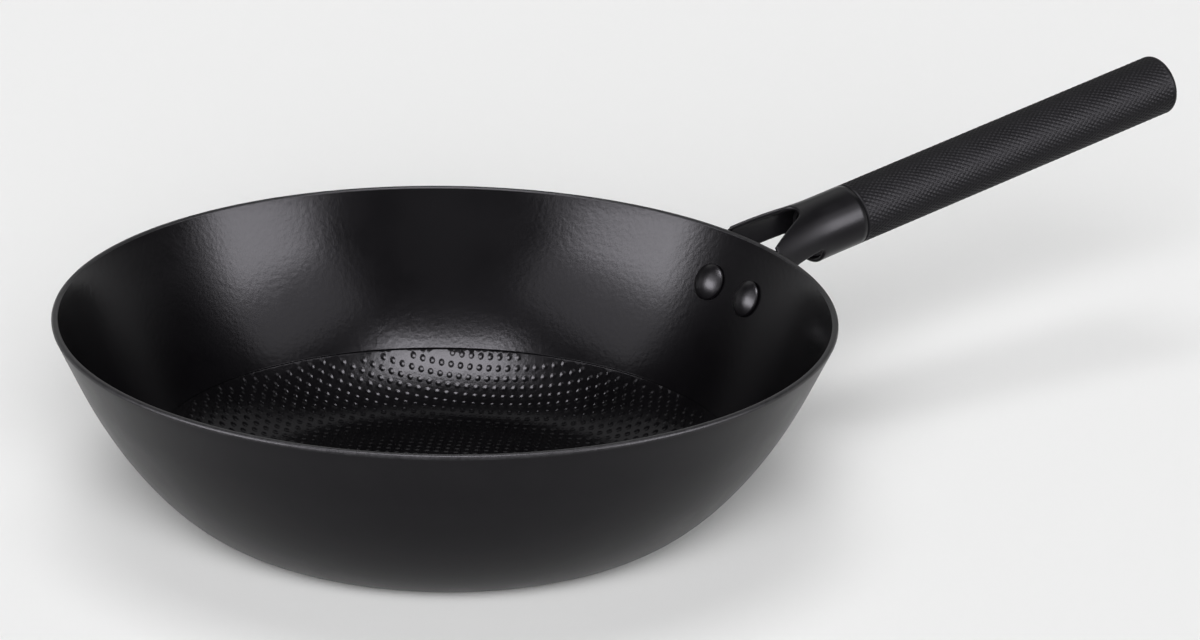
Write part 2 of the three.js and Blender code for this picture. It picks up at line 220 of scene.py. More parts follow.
@labelled
class WokStageSettings(PropertyGroup):
    """Camera, lamps and floor"""

    azimuth: angle("Turn of the view about the bowl", -37.637)
    elevation: angle("Height of the view over the table", 20.146)
    roll: angle("Tilt of the camera", 1.112)
    distance: length("Distance from the rim's centre", 2.2867)
    slide_right: number("Camera slide to its right", 0.054914, unit="LENGTH")
    slide_up: number("Camera slide upwards", -0.002597, unit="LENGTH")
    lens: number("Focal length", 192.928, unit="CAMERA")
    floor: paint("Colour of the floor", (0.85, 0.85, 0.85))
    backdrop: amount("Brightness of the backdrop behind the floor", 0.86)
    horizon: amount("Brightness of the room's lower part in reflections", 1.0)
    ceiling: amount("Brightness of the room's upper part in reflections", 0.02)
    ambient: amount("Even light from all sides", 0.06)
    front: amount("Soft light from the camera's side", 13.0)
    key: amount("Brightness of the card at the left", 17.5)
    fill: amount("Brightness of the card at the right", 16.0)
    wash: amount("Brightness of the wide dim cards round the side cards", 3.5)
    top: amount("Brightness of the card overhead", 30.0)
    back: amount("Brightness of the card behind", 0.9)
    over: amount("Brightness of the lamp that casts the handle's shadow", 2.9)


class WokSettings(PropertyGroup):
    """All settings of the wok"""

    bowl: PointerProperty(type=WokBowlSettings)
    bracket: PointerProperty(type=WokBracketSettings)
    rivet: PointerProperty(type=WokRivetSettings)
    grip: PointerProperty(type=WokGripSettings)
    finish: PointerProperty(type=WokFinishSettings)
    stage: PointerProperty(type=WokStageSettings)


# Surfaces


def smoothstep(t):
    """Cubic ease from 0 to 1."""
    t = np.clip(t, 0.0, 1.0)
    return t * t * (3.0 - 2.0 * t)


def unit(vectors):
    """Vectors divided by their lengths."""
    return vectors / np.maximum(np.linalg.norm(vectors, axis=-1, keepdims=True), TINY)


def bisect(function, low, high, halvings=44):
    """Root of an increasing function between two arrays, by halving the interval."""
    low, high = np.broadcast_arrays(np.asarray(low, float), np.asarray(high, float))
    for _ in range(halvings):
        middle = 0.5 * (low + high)
        below = function(middle) < 0.0
        low = np.where(below, middle, low)
        high = np.where(below, high, middle)
    return 0.5 * (low + high)


def grid_faces(rows, columns, closed=False):
    """Quads of a grid of points stored row by row; a closed grid joins its last column to its first."""
    i, j = np.meshgrid(np.arange(rows - 1), np.arange(columns if closed else columns - 1), indexing="ij")
    k = (j + 1) % columns
    corners = [i * columns + j, i * columns + k, (i + 1) * columns + k, (i + 1) * columns + j]
    return np.stack(corners, -1).reshape(-1, 4)


def patch(points, outward):
    """Points of a grid with its quads wound so that they face along the outward vectors."""
    faces = grid_faces(*points.shape[:2])
    flat = points.reshape(-1, 3)
    a, b, c, d = (flat[faces[:, n]] for n in range(4))
    facing = np.cross(c - a, d - b)
    aim = np.broadcast_to(outward, points.shape).reshape(-1, 3)[faces[:, 0]]
    if np.sum(facing * aim) < 0.0:
        faces = faces[:, ::-1]
    return flat, faces.tolist()


def joined(patches):
    """Lists of points and faces as one, with points that share a cell of a micrometre grid merged."""
    offsets = np.cumsum([0] + [len(points) for points, _ in patches])
    points = np.concatenate([points for points, _ in patches])
    cells = np.round(points / (1e-3 * MM)).astype(np.int64)
    _, first, place = np.unique(cells, axis=0, return_index=True, return_inverse=True)
    place = place.ravel()
    faces = []
    for offset, (_, group) in zip(offsets, patches):
        for face in group:
            ring = [place[offset + v] for v in face]
            ring = [v for n, v in enumerate(ring) if v != ring[n - 1]]
            if len(ring) > 2:
                faces.append(ring)
    return points[first], faces


def mirrored(patches):
    """The same patches reflected across the upright plane through the handle."""
    flip = np.array([1.0, -1.0, 1.0])
    return [(points * flip, [face[::-1] for face in faces]) for points, faces in patches]


def new_object(name, data):
    """Object in the scene's own collection."""
    made = bpy.data.objects.new(name, data)
    bpy.context.scene.collection.objects.link(made)
    return made


def new_piece(name, points, faces, materials, slot_of_face=None, normals=None):
    """Mesh object at the origin with smooth faces, and with material indices and point normals if given."""
    mesh = bpy.data.meshes.new(name)
    mesh.from_pydata(points.tolist(), [], faces)
    for material in materials:
        mesh.materials.append(material)
    mesh.polygons.foreach_set("use_smooth", np.ones(len(mesh.polygons), bool))
    if slot_of_face is not None:
        mesh.polygons.foreach_set("material_index", np.asarray(slot_of_face, np.int32))
    mesh.update()
    if mesh.validate():
        raise RuntimeError(f"{name}: the mesh has invalid faces")
    if normals is not None:
        mesh.normals_split_custom_set_from_vertices(normals.tolist())
    piece = new_object(name, mesh)
    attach(piece, "root")
    return piece


def turns(segments):
    """Angles of even steps around a circle."""
    return np.arange(segments) * 2.0 * np.pi / segments


def revolved(radius, height, segments):
    """Rows of radii and heights carried around the Z axis, as points and the quads between them."""
    turn = turns(segments)
    points = np.stack([radius * np.cos(turn), radius * np.sin(turn), height + 0.0 * turn], -1)
    return points.reshape(-1, 3), grid_faces(len(height), segments, closed=True).tolist()


def polar(radius, angle):
    """Plane points at a radius and an angle from the first axis."""
    return np.stack([radius * np.cos(angle), radius * np.sin(angle)], -1)


def arc(centre, radius, start, end, steps):
    """Points on a circular arc in the section plane."""
    return np.asarray(centre) + polar(radius, np.linspace(start, end, steps))


def wall_slope(bowl):
    """Unit vector up the straight wall, as (radius, height)."""
    return np.array([math.sin(bowl.wall_lean), math.cos(bowl.wall_lean)])


def belly(bowl, t, swell=0.0):
    """Belly line, a cubic Bezier curve from the base's edge (t = 0) to the straight wall (t = 1).

    The swell moves the base's edge out, and the curve's lower end by a quarter as much. Gives points as
    (radius, height) and unit normals that point into the wall.
    """
    rim = np.array([bowl.rim_radius, bowl.rim_height])
    top = rim - bowl.wall_straight * wall_slope(bowl)
    base = np.array([bowl.base_radius, 0.0])
    foot = np.array([bowl.rim_radius - bowl.rim_height * math.tan(bowl.wall_lean), 0.0])
    out = np.array([swell, 0.0])
    p0 = base + out
    p1 = base + (foot - base) * bowl.belly_lower + out / 4
    p2 = top + (foot - top) * bowl.belly_upper
    p3 = top
    t = np.asarray(t, float)[..., None]
    curve = (1 - t) ** 3 * p0 + 3 * (1 - t) ** 2 * t * p1 + 3 * (1 - t) * t**2 * p2 + t**3 * p3
    along = unit((1 - t) ** 2 * (p1 - p0) + 2 * (1 - t) * t * (p2 - p1) + t**2 * (p3 - p2))
    return curve, np.stack([-along[..., 1], along[..., 0]], -1)


def inner_belly(bowl, t, sink=0.0):
    """Inside of the belly: the line moved in by a thickness that fades from base to wall, less the sink."""
    curve, inward = belly(bowl, t)
    t = np.asarray(t, float)
    depth = bowl.wall_thickness + (bowl.base_thickness - bowl.wall_thickness) * (1 - t) ** 3 - sink
    return curve + inward * depth[..., None]


def wall_radius(bowl, height, distance):
    """Radius, at a height, of the belly line and the wall moved out by a distance."""
    curve, inward = belly(bowl, np.linspace(0.0, 1.0, 200))
    over = wall_slope(bowl) * 2.0 * bowl.wall_straight
    line = np.concatenate([curve - inward * distance, [curve[-1] + over - inward[-1] * distance]])
    return np.interp(height, line[:, 1], line[:, 0])


def bowl_profile(bowl):
    """Section rows from the middle of the underside over the rim to the sunk field's edge.

    Also gives the finish of each band between rows (0 outside, 1 inside, 2 rim) and the place on the belly
    line at which the field begins.
    """
    lean = bowl.wall_lean
    outer = belly(bowl, np.linspace(0.0, 1.0, 30), bowl.belly_swell)[0]
    rim = np.array([bowl.rim_radius, bowl.rim_height])
    wide = bowl.wall_thickness / math.cos(lean)
    edge = bowl.rim_edge
    # Rounding circles touch the rim's flat top and each face of the wall.
    back = edge * math.tan(math.pi / 4 + lean / 2)
    out_centre = rim + np.array([-back, -edge])
    ahead = edge * math.tan(math.pi / 4 - lean / 2)
    in_centre = rim + np.array([-wide + ahead, -edge])
    rim_out = arc(out_centre, edge, -lean, math.pi / 2, 14)
    rim_in = arc(in_centre, edge, math.pi / 2, math.pi - lean, 10)
    straight = np.linspace(0.25, 0.75, 3)[:, None]
    wall_out = outer[-1] + (rim_out[0] - outer[-1]) * straight
    inner_top = inner_belly(bowl, 1.0)
    wall_in = rim_in[-1] + (inner_top - rim_in[-1]) * straight
    t_all = np.linspace(0.0, 1.0, 2000)
    edge_t = np.interp(bowl.field_radius, inner_belly(bowl, t_all)[:, 0], t_all)
    # The field's edge: the inside falls back by the step over an S-shaped ramp nearly as long as the step.
    nudge = 0.001
    pace = np.linalg.norm(np.diff(belly(bowl, [edge_t, edge_t + nudge])[0], axis=0)) / nudge
    span = 0.9 * bowl.field_step / pace
    # A row of points close above the ramp keeps its edge crisp.
    close = edge_t + 0.12 * span
    inner = inner_belly(bowl, np.append(np.linspace(1.0, close, 20), edge_t))
    ramp = np.linspace(0.0, 1.0, 10)[1:]
    lip_t = edge_t - ramp * span
    lip = np.stack([inner_belly(bowl, t, bowl.field_step * smoothstep(r)) for t, r in zip(lip_t, ramp)])
    base = np.linspace(0.0, 1.0, 6)[:-1, None] * outer[0]
    outside = np.concatenate([base, outer, wall_out])
    rim_top = np.concatenate([rim_out, rim_in])
    profile = np.concatenate([outside, rim_top, wall_in, inner, lip])
    finish = np.ones(len(profile) - 1, np.int32)
    finish[: len(outside)] = 0
    finish[len(outside) : len(outside) + len(rim_top) - 1] = 2
    return profile, finish, lip_t[-1]


def dimple_field(bowl, edge_t, ring):
    """Sunk field inside the given ring of edge points, with round dimples on a square plan lattice.

    Each dimple is rings of points pushed below the bowl's inside along its normal; the push is a cubic ease
    from the dimple's edge to its flat middle. Returns points, the edge's ring first, triangles and normals.
    """
    sunk = inner_belly(bowl, np.linspace(0.0, edge_t, 1500), bowl.field_step)
    line = np.concatenate([[[0.0, bowl.base_thickness - bowl.field_step]], sunk])
    limit = line[-1, 0]
    pitch, size = bowl.dimple_pitch, bowl.dimple_radius
    reach = int(limit / pitch) + 2
    steps = np.arange(-reach, reach + 1)
    i, j = np.meshgrid(steps + LATTICE_SHIFT[0], steps + LATTICE_SHIFT[1], indexing="ij")
    row = np.array([math.cos(bowl.dimple_turn), math.sin(bowl.dimple_turn)])
    column = np.array([-row[1], row[0]])
    lattice = (i[..., None] * row + j[..., None] * column).reshape(-1, 2) * pitch
    centres = lattice[np.linalg.norm(lattice, axis=1) < limit - DIMPLE_INSET * size]
    between = lattice + 0.5 * pitch * (row + column)
    between = between[np.linalg.norm(between, axis=1) < limit - bowl.dimple_margin]
    # One dimple: a middle point and rings of points, the middle ring turned by half a step.
    rings = DIMPLE_RINGS * size
    stagger = np.array([0.0, 0.5, 0.0])
    turn = (np.arange(DIMPLE_SPOKES)[None] + stagger[:, None]) * 2.0 * np.pi / DIMPLE_SPOKES
    hollow = np.concatenate([np.zeros((1, 2)), polar(rings[:, None], turn).reshape(-1, 2)])
    rho = np.concatenate([[0.0], np.repeat(rings, DIMPLE_SPOKES)])
    dimples = (centres[:, None] + hollow[None]).reshape(-1, 2)
    # Dimples that meet the field's edge are cut off by it.
    inside = np.linalg.norm(dimples, axis=1) < limit - bowl.dimple_margin
    dimples = dimples[inside]
    margin = polar(limit - 0.5 * bowl.dimple_margin, turns(len(ring)))
    plan = np.concatenate([ring[:, :2], margin, between, dimples])
    radius = np.linalg.norm(plan, axis=1)
    height = np.interp(radius, line[:, 0], line[:, 1])
    slopes = np.diff(line[:, 1]) / np.diff(line[:, 0])
    tilt = np.interp(radius, 0.5 * (line[1:, 0] + line[:-1, 0]), slopes)
    out = unit(plan)
    normal = unit(np.stack([-tilt * out[:, 0], -tilt * out[:, 1], np.ones(len(plan))], -1))
    # Push, slope of the push and heading at one dimple's points, then for all points, zero off the dimples.
    run = DIMPLE_SLOPE * size
    ramp = np.clip((size - rho) / run, 0.0, 1.0)
    push = bowl.dimple_depth * smoothstep(ramp)
    pull = bowl.dimple_depth * 6.0 * ramp * (1.0 - ramp) / run
    each = np.column_stack([push, pull, unit(hollow)])
    given = np.tile(each, (len(centres), 1))[inside]
    given = np.concatenate([np.zeros((len(plan) - len(given), 4)), given])
    depth, rise, away = given[:, 0], given[:, 1], given[:, 2:]
    along = np.sum(away * out, axis=1) * rise
    across = (away[:, 1] * out[:, 0] - away[:, 0] * out[:, 1]) * rise
    radial = np.stack([out[:, 0], out[:, 1], tilt], -1) / (1.0 + tilt**2)[:, None]
    ringwise = np.stack([-out[:, 1], out[:, 0], np.zeros(len(plan))], -1)
    shaded = unit(normal - radial * along[:, None] - ringwise * across[:, None])
    points = np.column_stack([plan, height]) - normal * depth[:, None]
    points[: len(ring)] = ring
    # Triangles over the whole hull of the plan, in millimetres.
    hull, closest = 0, 1e-6
    triangles, sources = geometry.delaunay_2d_cdt((plan / MM).tolist(), [], [], hull, closest, True)[2:4]
    origin = np.array([ids[0] for ids in sources])
    return points, origin[np.array(triangles)], shaded


def bracket_axes(bracket):
    """Joint and unit axes of the handle: along to the tip, across and up."""
    joint = np.array([bracket.joint_reach, 0.0, bracket.joint_height])
    along = np.array([math.cos(bracket.rise), 0.0, math.sin(bracket.rise)])
    across = np.array([0.0, 1.0, 0.0])
    return joint, along, across, np.cross(along, across)


def placed(bracket, x, y, z):
    """Handle coordinates as points of the shared frame."""
    joint, along, across, up = bracket_axes(bracket)
    return joint + x[..., None] * along + y[..., None] * across + z[..., None] * up


def fork_section(bracket, reach, x, s):
    """Section of socket and fork at x, by arc length s: 0 top, 1 side, 2 bottom.

    A circle that eases into a rounded rectangle with the distance from the joint.
    """
    radius = bracket.diameter / 2
    run = (-x - bracket.flare_start) / (reach - bracket.flare_start)
    run = np.clip(run, 0.0, 1.0) ** bracket.flare_power
    wide = radius + (bracket.arm_spread / 2 - radius) * run
    high = radius + (bracket.arm_height / 2 - radius) * run
    corner = radius + (bracket.arm_rounding - radius) * run
    flat, quarter = wide - corner, 0.5 * np.pi * corner
    lower = s > 1.0
    way = np.where(lower, 2.0 - s, s) * (flat + quarter + high - corner)
    bend = np.clip((way - flat) / corner, 0.0, 0.5 * np.pi)
    y = np.minimum(way, flat) + corner * np.sin(bend)
    z = high - corner * (1.0 - np.cos(bend)) - np.maximum(way - flat - quarter, 0.0)
    return y, np.where(lower, -z, z)


def fork_surface(bracket, reach, x, s):
    """Points and outward unit normals of the fork's outside, the normals from small steps in x and s."""
    step, nudge = 2e-4, 0.05 * MM

    def at(x, s):
        y, z = fork_section(bracket, reach, x, s)
        return placed(bracket, x, y, z)

    x, s = np.broadcast_arrays(np.asarray(x, float), np.asarray(s, float))
    low, high = np.clip(s - step, 0.0, 2.0), np.clip(s + step, 0.0, 2.0)
    around = at(x, high) - at(x, low)
    along = at(x + nudge, s) - at(x - nudge, s)
    return at(x, s), unit(np.cross(along, around))


def edge_strip(points, normals, outward, thickness, bulge):
    """Rounded edge of a sheet: half an oval carried along the edge from its outer to its inner face."""
    psi = np.linspace(0.0, np.pi, 9)[None, :, None]
    out = bulge * np.sin(psi) * outward[:, None]
    return points[:, None] + out - 0.5 * thickness * (1.0 - np.cos(psi)) * normals[:, None]


def path_outward(points, normals, towards):
    """In-surface unit vectors square to a path, on the side of the given vectors."""
    along = np.gradient(points, axis=0)
    side = unit(np.cross(along, normals))
    return side * np.sign(np.sum(side * towards, axis=-1, keepdims=True))


def arm_edges(bracket, reach, x, pull):
    """Arc-length places of the arms' upper and lower edges at x, both pulled back from the cut lines."""
    nose = -bracket.notch_start - bracket.notch_nose
    radius = bracket.notch_nose + pull
    flare = bracket.notch_flare
    touch = nose + radius * math.sin(flare)
    round_half = np.sqrt(np.maximum(radius**2 - (x - nose) ** 2, 0.0))
    line_half = radius * math.cos(flare) + (touch - x) * math.tan(flare)
    half = np.where(x > touch, round_half, line_half)
    # The notch's side stays just short of the section's widest place.
    limit = np.minimum(half, 0.9999 * fork_section(bracket, reach, x, np.ones_like(x))[0])
    start = np.zeros_like(x)
    notch = bisect(lambda s: fork_section(bracket, reach, x, s)[0] - limit, start, 1.0)
    notch = np.where(half <= 0.0, 0.0, notch)
    crest_z = bracket.diameter / 2 + bracket.crest_rise - pull
    crest_z = crest_z - np.maximum(-x - bracket.crest_start, 0.0) * math.tan(bracket.crest_fall)
    crest = bisect(lambda s: crest_z - fork_section(bracket, reach, x, s)[1], start, 1.5)
    crest = np.where(-x > bracket.crest_start, crest, 0.0)
    # Soft maximum, so that the notch's side runs into the crest in a curve.
    top = np.where(notch > 0.0, 0.5 * (notch + crest + np.sqrt((notch - crest) ** 2 + CREST_BLEND**2)), 0.0)
    top = np.where(crest > CREST_LEAST, top, notch)
    # Lower edge: a fillet at the socket's mouth, then a gently falling curve.
    corner = -bracket.socket_length - bracket.socket_corner
    fillet = bracket.socket_corner + pull
    t = np.linspace(0.0, 1.0, 200)
    middle = -(bracket.socket_length + reach) / 2
    fall_x = (1 - t) ** 2 * corner + 2 * t * (1 - t) * middle - t**2 * reach
    fall_z = -(((1 - t) ** 2 + 2 * t * (1 - t)) * bracket.arm_undercut + t**2 * bracket.arm_drop) + pull
    low_z = np.interp(-x, -fall_x, fall_z)
    rounded = -bracket.arm_undercut - bracket.socket_corner
    rounded = rounded + np.sqrt(np.maximum(fillet**2 - (x - corner) ** 2, 0.0))
    low_z = np.where(x > corner, rounded, low_z)
    low = bisect(lambda s: low_z - fork_section(bracket, reach, x, s)[1], np.full_like(x, 0.5), 2.0)
    return top, low


def fork_patches(bracket, bowl, reach):
    """One side of socket and fork as patches: both skins, rounded cut edges and the hidden arm end."""
    sheet = bracket.sheet
    pull = 0.5 * sheet
    lip = 0.12 * MM
    rows, low_rows = 26, 22
    apex = -bracket.notch_start + pull
    mouth = -bracket.socket_length + pull
    cut_s = arm_edges(bracket, reach, np.array([mouth]), pull)[1][0]
    s_tube = np.concatenate([np.linspace(0.0, cut_s, rows), np.linspace(cut_s, 2.0, low_rows)[1:]])
    x_tube = np.linspace(-lip, mouth, 12)
    tube, tube_n = fork_surface(bracket, reach, x_tube[:, None], s_tube[None])

    # Arms: columns run from the mouth to the saddle; each row keeps its share between the two edges.
    part = np.linspace(0.0, 1.0, rows)

    def row_place(x):
        top, low = arm_edges(bracket, reach, x, pull)
        return top + (low - top) * part

    def wall_distance(points):
        radius = np.hypot(points[..., 0], points[..., 1])
        lean = bowl.wall_lean
        below = np.minimum(points[..., 2] - bowl.rim_height, 0.0)
        return (radius - bowl.rim_radius) * math.cos(lean) - below * math.sin(lean)

    # The arms end inside the plate, a tenth of the sheet from its inner face.
    end_distance = bracket.gap + 0.1 * sheet

    def passed(way):
        return end_distance - wall_distance(fork_surface(bracket, reach, -way, row_place(-way))[0])

    least, most = 4 * MM - apex, reach + bracket.diameter / 2
    ends = -bisect(passed, np.full(rows, least), most)
    lead = np.linspace(mouth, apex, 7)[:-1]
    # Columns lie a little wider apart towards the plate.
    w = np.linspace(0.0, 1.0, 44)
    ease = 0.55 * w**2 + 0.45 * (1.0 - (1.0 - w) ** 2.2)
    x_arm = np.concatenate([np.repeat(lead[:, None], rows, 1), apex + (ends - apex) * ease[:, None]])
    s_arm = np.stack([row_place(x) for x in x_arm])
    s_arm[: len(lead) + 1, 0] = 0.0
    arm, arm_n = fork_surface(bracket, reach, x_arm, s_arm)

    # Fillet against the saddle: both faces of the sheet swell towards the plate, below its upper edge.
    room = np.clip(wall_distance(arm) - bracket.gap - sheet, 0.0, bracket.arm_fillet)
    swell = bracket.arm_fillet - np.sqrt(bracket.arm_fillet**2 - (bracket.arm_fillet - room) ** 2)
    fade = smoothstep(FILLET_GROWTH * np.minimum(part - FILLET_START, 1.0 - part))
    swell = swell[..., None] * fade[None, :, None]
    arm_out = arm + arm_n * swell
    arm_in = arm - arm_n * (sheet + swell)

    # Cut edges: the socket's ring, the lower edge from the socket's middle to the plate and the upper edge.
    _, along, across, up = bracket_axes(bracket)
    ring = edge_strip(tube[0], tube_n[0], np.broadcast_to(along, tube[0].shape), sheet, lip)
    low = np.concatenate([tube[-1, : rows - 1 : -1], arm[:, -1]])
    low_n = np.concatenate([tube_n[-1, : rows - 1 : -1], arm_n[:, -1]])
    low_out = path_outward(low, low_n, -along - 1.2 * up)
    low_out[0] = unit(low_out[0] * np.array([1.0, 0.0, 1.0]))
    under = edge_strip(low, low_n, low_out, sheet, pull)
    top, top_n = arm[len(lead) :, 0], arm_n[len(lead) :, 0]
    top_out = path_outward(top, top_n, -along - across + 0.8 * up)
    top_out[0] = -along
    over = edge_strip(top, top_n, top_out, sheet, pull)
    patches = [
        patch(tube, tube_n),
        patch(tube - tube_n * sheet, -tube_n),
        patch(arm_out, arm_n),
        patch(arm_in, -arm_n),
        patch(ring, along),
        patch(under, low_out[:, None]),
        patch(over, top_out[:, None]),
        patch(np.stack([arm_out[-1], arm_in[-1]]), -along),
    ]
    for strip in (under[-1], over[-1]):
        face = list(range(len(strip)))
        normal = np.cross(strip[3] - strip[0], strip[6] - strip[0])
        patches.append((strip, [face if np.dot(normal, along) < 0.0 else face[::-1]]))
    return patches


def saddle_patches(bracket, bowl):
    """Saddle plate: a sheet that follows the wall, with a dip in its upper edge and rounded corners."""
    pull = 0.5 * bracket.sheet
    half = bracket.saddle_width / 2 - pull
    upper = bowl.rim_height - bracket.saddle_drop
    top, bottom = upper - pull, upper - bracket.saddle_height + pull
    turn = np.linspace(-0.5 * np.pi, 0.5 * np.pi, 61)
    y = half * np.sin(turn)
    side = np.abs(y)

    def corner(radius):
        over = np.clip(side - (half - radius), 0.0, radius)
        return radius - np.sqrt(np.maximum(radius**2 - over**2, 0.0))

    floor, slope = 0.30 * bracket.saddle_dip_width, 4.5 * MM
    dip = bracket.saddle_dip * (1.0 - smoothstep((side - floor) / slope))
    high = top - corner(bracket.saddle_shoulder) - dip
    low = bottom + corner(bracket.saddle_corner)
    z = low + (high - low) * np.linspace(0.0, 1.0, 25)[:, None]
    distance = bracket.gap + bracket.sheet

    def at(y, z):
        radius = wall_radius(bowl, z, distance)
        return np.stack([np.sqrt(radius**2 - y**2), y + 0.0 * z, z], -1)

    y = np.broadcast_to(y, z.shape)
    face = at(y, z)
    step = 2e-5
    normal = unit(np.cross(at(y + step, z) - at(y - step, z), at(y, z + step) - at(y, z - step)))
    rim, rim_n = (
        np.concatenate([grid[0, :-1], grid[:-1, -1], grid[-1, :0:-1], grid[:0:-1, 0]])
        for grid in (face, normal)
    )
    ring = np.concatenate([rim[-1:], rim, rim[:1]])
    along = ring[2:] - ring[:-2]
    towards = unit(np.cross(along, rim_n))
    edge = edge_strip(rim, rim_n, towards, bracket.sheet, pull)
    edge = np.concatenate([edge, edge[:1]])
    towards = np.concatenate([towards, towards[:1]])
    return [
        patch(face, normal),
        patch(face - normal * bracket.sheet, -normal),
        patch(edge, towards[:, None]),
    ]


def rivet_radius(rivet, bowl):
    """Distance of the rivets from the bowl's axis, on the outside of the wall."""
    return bowl.rim_radius - rivet.drop * math.tan(bowl.wall_lean)


def rivet_profile(rivet, bowl, bracket):
    """Rivet section along its axis: a dome inside the bowl, a shank and a smaller dome on the saddle."""
    head_face = -bowl.wall_thickness - bracket.gap
    tail_face = bracket.sheet + 2.0 * bracket.gap

    def dome(radius, base, height):
        sphere = (radius**2 + height**2) / (2.0 * abs(height))
        spread = math.asin(min(radius / sphere, 1.0))
        a = np.linspace(spread, 0.0, 12)
        side = math.copysign(1.0, height)
        return np.stack([sphere * np.sin(a), base + height + side * sphere * (np.cos(a) - 1.0)], -1)

    head = dome(rivet.head / 2, head_face - rivet.edge, rivet.edge - rivet.head_height)[::-1]
    tail = dome(rivet.tail / 2, tail_face + rivet.edge, rivet.tail_height - rivet.edge)
    bevel = 0.25 * MM
    middle = np.array([
        [rivet.head / 2, head_face - bevel],
        [rivet.head / 2 - bevel, head_face],
        [rivet.shank / 2, head_face],
        [rivet.shank / 2, tail_face],
        [rivet.tail / 2 - bevel, tail_face],
        [rivet.tail / 2, tail_face + bevel],
    ])
    return np.concatenate([head, middle, tail])


def turned_onto(points, origin, axis, start):
    """Points turned so that their Z axis lies along an axis and X near a start direction, then moved."""
    side = unit(start - axis * np.dot(start, axis))
    return origin + points @ np.stack([side, np.cross(axis, side), axis])


def grip_rows(grip, bracket):
    """Grip section rows from the bore's end over the spigot and along the grip to the closed end."""
    radius = bracket.diameter / 2
    spigot = radius - bracket.sheet - bracket.gap
    face = -grip.spigot
    bore = face + grip.bore_depth
    bevel, edge = 0.3 * MM, 0.5 * MM
    inner = np.array([
        [0.0, bore], [grip.bore_radius, bore], [grip.bore_radius, face + bevel],
        [grip.bore_radius + bevel, face], [spigot - edge, face], [spigot, face + edge],
        [spigot, bracket.gap], [radius - grip.chamfer - edge, bracket.gap],
        [radius - grip.chamfer, bracket.gap],
    ])
    start = bracket.gap + grip.chamfer
    end = grip.reach - grip.end_radius
    steps = int(round((end - start) / (grip.knurl_pitch / KNURL_STEPS)))
    side = np.stack([np.full(steps + 1, radius), np.linspace(start, end, steps + 1)], -1)
    tip = arc((radius - grip.end_radius, end), grip.end_radius, 0.0, 0.5 * np.pi, 9)[1:]
    cap = np.stack([np.linspace(radius - grip.end_radius, 0.0, 6)[1:], np.full(5, grip.reach)], -1)
    return inner, side, np.concatenate([tip, cap])


def grip_mesh(grip, bracket):
    """Grip turned about the handle's axis, with a crossed knurl cut into its side.

    The cut is the deeper of two sets of rounded helical grooves that lean opposite ways.
    """
    inner, side, end = grip_rows(grip, bracket)
    columns = KNURL_STEPS * grip.knurl_starts
    profile = np.concatenate([inner, side, end])
    radius = np.repeat(profile[:, :1], columns, 1)
    done, left = side[:, 1:] - side[0, 1], side[-1, 1:] - side[:, 1:]
    whole = side[-1, 1] - side[0, 1]
    way = 2.0 * np.pi * done / whole * round(whole / grip.knurl_pitch)
    lean = grip.knurl_starts * turns(columns)
    groove = np.maximum(np.cos(way + lean), np.cos(way - lean))
    groove = np.clip(0.5 + 0.5 * groove, 0.0, 1.0) ** KNURL_SHARPNESS
    fade = smoothstep(np.minimum(done, left) / grip.knurl_margin)
    radius[len(inner) : len(inner) + len(side)] -= grip.knurl_depth * groove * fade
    return revolved(radius, profile[:, 1:], columns)


# Finishes


# Each finish: spread of its shade, range of its roughness, its grains and clouds per metre, the relief of
# the grain in metres, its share of metal and its refractive index.
Coat = namedtuple("Coat", "spread roughness grain cloud relief metallic ior")
COATS = {
    "bowl outside": Coat(0.12, (0.29, 0.35), 1400.0, 60.0, 0.00002, 0.0, 1.22),
    "bowl inside": Coat(0.12, (0.17, 0.22), 540.0, 45.0, 0.000055, 0.0, 1.22),
    "bowl rim": Coat(0.6, (0.30, 0.42), 1800.0, 500.0, 0.00005, 0.0, 1.3),
    "bracket coating": Coat(0.15, (0.25, 0.32), 900.0, 70.0, 0.000008, 0.0, 1.22),
    "rivet coating": Coat(0.12, (0.24, 0.32), 900.0, 80.0, 0.000015, 0.0, 1.3),
    "grip resin": Coat(0.15, (0.34, 0.44), 1500.0, 90.0, 0.00002, 0.0, 1.18),
    "cup coating": Coat(0.2, (0.35, 0.5), 900.0, 90.0, 0.00001, 0.0, 1.5),
    "plain steel": Coat(0.12, (0.28, 0.42), 2500.0, 300.0, 0.000005, 1.0, 1.5),
    "plain brass": Coat(0.15, (0.25, 0.40), 2500.0, 300.0, 0.000005, 1.0, 1.5),
}
COOL_SHEEN = (0.95, 0.92, 1.0, 1.0)


def feed(node, inputs):
    """Give a node's inputs, by name or place, a value each or a link from another node's output."""
    for key, value in inputs.items():
        if isinstance(value, NodeSocket):
            node.id_data.links.new(value, node.inputs[key])
        else:
            node.inputs[key].default_value = value


def add_node(tree, kind, inputs, **settings):
    """Node of a kind with its settings and inputs."""
    node = tree.nodes.new(kind)
    for key, value in settings.items():
        setattr(node, key, value)
    feed(node, inputs)
    return node


